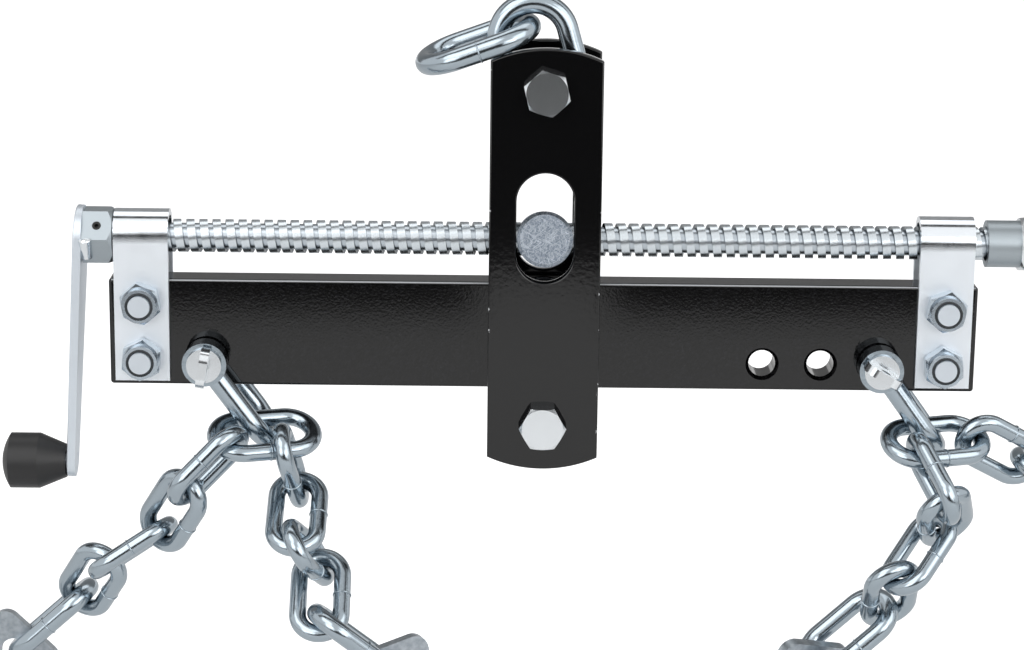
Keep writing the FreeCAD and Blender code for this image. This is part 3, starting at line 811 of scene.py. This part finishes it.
swell = add(
    loop,
    "ShaderNodeMath",
    {0: on_weld.outputs[0], 1: size["Weld Swell"], 2: 1.0},
    operation="MULTIPLY_ADD",
)
weighted = add(
    loop,
    "GeometryNodeSetCurveRadius",
    {"Curve": even.outputs["Curve"], "Radius": swell.outputs[0]},
)
wire_radius = add(loop, "ShaderNodeMath", {0: size["Wire"], 1: 0.5}, operation="MULTIPLY")
section = add(
    loop,
    "GeometryNodeCurvePrimitiveCircle",
    {"Resolution": WIRE_SIDES, "Radius": wire_radius.outputs[0]},
)
wire = add(
    loop,
    "GeometryNodeCurveToMesh",
    {"Curve": weighted.outputs["Curve"], "Profile Curve": section.outputs["Curve"]},
)
seam_edge = add(
    loop,
    "GeometryNodeCurvePrimitiveCircle",
    {"Resolution": WELD_SEAM_SIDES, "Radius": size["Weld Seam"]},
)
seam = add(
    loop,
    "GeometryNodeCurveToMesh",
    {"Curve": section.outputs["Curve"], "Profile Curve": seam_edge.outputs["Curve"]},
)
half_width = add(
    loop, "ShaderNodeMath", {0: loop_width.outputs[0], 1: 0.5}, operation="MULTIPLY"
)
seam_place = add(loop, "ShaderNodeCombineXYZ", {"Y": half_width.outputs[0]})
seam_put = add(
    loop,
    "GeometryNodeTransform",
    {
        "Geometry": seam.outputs["Mesh"],
        "Translation": seam_place.outputs["Vector"],
        "Rotation": (0, math.radians(90), 0),
    },
)
welded = add(loop, "GeometryNodeJoinGeometry")
loop.links.new(wire.outputs["Mesh"], welded.inputs["Geometry"])
loop.links.new(seam_put.outputs["Geometry"], welded.inputs["Geometry"])
close_tree(loop, welded.outputs["Geometry"], zinc_wire)


def lie_of(node):
    """Where a link lies: its middle and its three axes, from the spread of its CAD points."""
    points = np.array([v.co for v in nodes[node].data.vertices])
    low, high = points.min(0), points.max(0)
    middle = (low + high) / 2
    spread = np.cov((points - middle).T)
    axes = np.linalg.eigh(spread)[1]
    lengthwise, crosswise = Vector(axes[:, 2]), Vector(axes[:, 1])
    if lengthwise.z < 0:
        lengthwise = -lengthwise
    if crosswise.y > 0:
        crosswise = -crosswise
    turn = Matrix((lengthwise, crosswise, lengthwise.cross(crosswise))).transposed().to_4x4()
    return Matrix.Translation(Vector(middle)) @ turn


def show_link(node, kind):
    """Puts a welded link in the place of its CAD node."""
    wire, length, width = LINK_SIZES[kind]
    mesh = grown(
        "welded_" + node,
        loop,
        Wire=wire,
        Length=length,
        Width=width,
        Weld_Swell=WELD_SWELL,
        Weld_Half=WELD_HALF,
        Weld_Seam=WELD_SEAM,
    )
    mesh.transform(lie_of(node))
    piece("welded_" + node, mesh, node, "zinc_steel", node)


for leg in LEGS:
    for number in range(1, LINKS_PER_LEG + 1):
        show_link("%s_link_%d" % (leg, number), "link")
    show_link(leg + "_end_link", "end")
for word in ("left", "right"):
    show_link("master_link_" + word, "master")
for node in ("top_link", "hook_link"):
    show_link(node, "top")

# Nylon inserts of the lock nuts, round the ends of the strap bolts.
insert, size = new_tree("nylon_insert", "Inner", "Outer", "Proud")
inner_r = add(insert, "ShaderNodeMath", {0: size["Inner"], 1: 0.5}, operation="MULTIPLY")
outer_r = add(insert, "ShaderNodeMath", {0: size["Outer"], 1: 0.5}, operation="MULTIPLY")
mean_sum = add(
    insert, "ShaderNodeMath", {0: inner_r.outputs[0], 1: outer_r.outputs[0]}, operation="ADD"
)
mean_r = add(insert, "ShaderNodeMath", {0: mean_sum.outputs[0], 1: 0.5}, operation="MULTIPLY")
wall = add(
    insert, "ShaderNodeMath", {0: outer_r.outputs[0], 1: inner_r.outputs[0]}, operation="SUBTRACT"
)
thick = add(insert, "ShaderNodeMath", {0: size["Proud"], 1: 2.0}, operation="MULTIPLY")
circle = add(
    insert,
    "GeometryNodeCurvePrimitiveCircle",
    {"Resolution": NYLON_SIDES, "Radius": mean_r.outputs[0]},
)
strip = add(
    insert,
    "GeometryNodeCurvePrimitiveQuadrilateral",
    {"Width": wall.outputs[0], "Height": thick.outputs[0]},
)
band = add(
    insert,
    "GeometryNodeCurveToMesh",
    {"Curve": circle.outputs["Curve"], "Profile Curve": strip.outputs["Curve"]},
)
close_tree(insert, band.outputs["Mesh"], nylon)
inserts = []
for word in ("left", "right"):
    for level in ("upper", "lower"):
        low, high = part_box("strap_nut_%s_%s" % (word, level))
        mesh = grown(
            "nylon_inserts", insert, Inner=NYLON_INNER, Outer=NYLON_OUTER, Proud=NYLON_PROUD
        )
        mesh.transform(Matrix.Rotation(math.pi / 2, 4, "X"))
        mesh.transform(
            Matrix.Translation(((low.x + high.x) / 2, low.y, (low.z + high.z) / 2))
        )
        inserts.append(mesh)
piece("nylon_inserts", joined(*inserts), "beam", "zinc_steel")

# CAD nodes shown as they are
for name, node in nodes.items():
    if name == "beam":
        material = beam_enamel
    elif name == "trunnion_nut":
        material = zinc_sawn
    elif name in ("strap_left", "strap_right"):
        material = zinc_strap
    elif name in ("crank_collar", "end_sleeve"):
        material = zinc_forged
    elif name.startswith("strap_nut"):
        material = zinc_nut
    elif name.startswith("strap_bolt"):
        material = zinc_strip
    elif "bolt" in name or "nut" in name or "pin_" in name:
        material = zinc_turned
    elif name == "crank_knob":
        material = knob_plastic
    elif name == "roll_pin":
        material = black_oxide
    elif name in ("shackle_left", "shackle_right"):
        material = zinc_wire
    elif name.endswith("end_plate"):
        material = zinc_flat
    else:
        material = zinc_strip
    node.data.materials.clear()
    node.data.materials.append(material)


# Studio: a pale floor, a white background and soft lamps
def card(name, corners, material):
    """A rectangle between two opposite corners, with two of its sides along X."""
    (left, near, low), (right, far, high) = corners
    mesh = bpy.data.meshes.new(name)
    mesh.from_pydata(
        [(left, near, low), (right, near, low), (right, far, high), (left, far, high)],
        [],
        [(0, 1, 2, 3)],
    )
    mesh.materials.append(material)
    made = bpy.data.objects.new(name, mesh)
    bpy.context.scene.collection.objects.link(made)
    return made


def reflected_card(name, corners, material):
    """A card that only shows in reflections, and neither lights the floor nor shades it."""
    made = card(name, corners, material)
    made.visible_camera = False
    made.visible_diffuse = False
    made.visible_shadow = False


floor_paint, tree, shader = surface("pale_floor", Base_Color=linear("E6E6E6"), Roughness=0.9)
rays = add(tree, "ShaderNodeLightPath")
shine = add(
    tree,
    "ShaderNodeMath",
    {0: rays.outputs["Is Glossy Ray"], 1: FLOOR_SHINE},
    operation="MULTIPLY",
)
pale = add(
    tree,
    "ShaderNodeMath",
    {0: rays.outputs["Is Camera Ray"], 1: FLOOR_GLOW},
    operation="MULTIPLY",
)
seen = add(
    tree, "ShaderNodeMath", {0: pale.outputs[0], 1: shine.outputs[0]}, operation="MAXIMUM"
)
glow = add(tree, "ShaderNodeEmission", {"Strength": seen.outputs[0]})
both = add(
    tree, "ShaderNodeAddShader", {0: shader.outputs["BSDF"], 1: glow.outputs["Emission"]}
)
tree.links.new(both.outputs["Shader"], tree.nodes["Material Output"].inputs["Surface"])
floor_corners = ((-FLOOR_HALF, -FLOOR_HALF, FLOOR_Z), (FLOOR_HALF, FLOOR_HALF, FLOOR_Z))
card("floor", floor_corners, floor_paint)

# Cloth for the gloss to reflect: dark in front and overhead, grey behind. The
# lens card is a strip of pale floor on the dark cloth.
dark_cloth, tree, shader = surface("dark_cloth", Base_Color=linear("101010"), Roughness=1.0)
grey_cloth, tree, shader = surface("grey_cloth", Base_Color=linear("B8B8B8"), Roughness=1.0)
reflected_card("front_flag", FRONT_FLAG, dark_cloth)
reflected_card("far_flag", FAR_FLAG, dark_cloth)
reflected_card("back_flag", BACK_FLAG, grey_cloth)
reflected_card("roof_flag", ROOF_FLAG, dark_cloth)
reflected_card("lens_card", LENS_CARD, floor_paint)

# World: white to the camera and in reflections, a weaker fill on the object
world = bpy.data.worlds.new("studio")
bpy.context.scene.world = world
world.use_nodes = True
tree = world.node_tree
rays = add(tree, "ShaderNodeLightPath")
seen = rays.outputs["Is Camera Ray"]
for kind in ("Is Glossy Ray", "Is Transmission Ray"):
    either = add(tree, "ShaderNodeMath", {0: seen, 1: rays.outputs[kind]}, operation="MAXIMUM")
    seen = either.outputs[0]
level = add(tree, "ShaderNodeMapRange", {"Value": seen, "To Min": WORLD_FILL, "To Max": 1.0})
back = tree.nodes["Background"]
back.inputs["Color"].default_value = (1, 1, 1, 1)
tree.links.new(level.outputs["Result"], back.inputs["Strength"])


def lamp(name, place, size, power):
    """A soft lamp that is turned to the object."""
    data = bpy.data.lights.new(name, "AREA")
    data.shape = "RECTANGLE"
    data.size, data.size_y = size
    data.energy = power
    made = bpy.data.objects.new(name, data)
    made.location = place
    made.rotation_euler = (LAMP_AIM - Vector(place)).to_track_quat("-Z", "Y").to_euler()
    bpy.context.scene.collection.objects.link(made)


lamp("key_softbox", place=(-0.9, -1.1, 1.3), size=(1.5, 1.1), power=8.0)
lamp("fill_softbox", place=(1.3, -0.9, 0.7), size=(1.2, 1.2), power=6.0)
lamp("top_softbox", place=(0.0, 0.6, 1.5), size=(1.8, 0.8), power=3.0)
lamp("left_front_softbox", place=(-0.85, -1.5, 0.3), size=(1.0, 0.8), power=5.0)
lamp("right_front_softbox", place=(0.85, -1.5, 0.3), size=(1.0, 0.8), power=5.0)

# Camera
right = Vector((math.cos(CAMERA_YAW), math.sin(CAMERA_YAW), 0))
ahead = Vector(
    (
        -math.sin(CAMERA_YAW) * math.cos(CAMERA_PITCH),
        math.cos(CAMERA_YAW) * math.cos(CAMERA_PITCH),
        -math.sin(CAMERA_PITCH),
    )
)
up = right.cross(ahead)
rolled_right = right * math.cos(CAMERA_ROLL) + up * math.sin(CAMERA_ROLL)
rolled_up = up * math.cos(CAMERA_ROLL) - right * math.sin(CAMERA_ROLL)
camera_data = bpy.data.cameras.new("camera")
camera_data.sensor_fit = "HORIZONTAL"
camera_data.sensor_width = SENSOR_WIDTH_MM
camera_data.lens = SENSOR_WIDTH_MM * FOCAL_PX / IMAGE_WIDTH_PX
camera_data.clip_end = CAMERA_SIGHT
camera = bpy.data.objects.new("camera", camera_data)
turn = Matrix((rolled_right, rolled_up, -ahead)).transposed().to_4x4()
camera.matrix_world = Matrix.Translation(CAMERA_PLACE) @ turn
bpy.context.scene.collection.objects.link(camera)
bpy.context.scene.camera = camera
bpy.context.scene.view_settings.view_transform = "Standard"
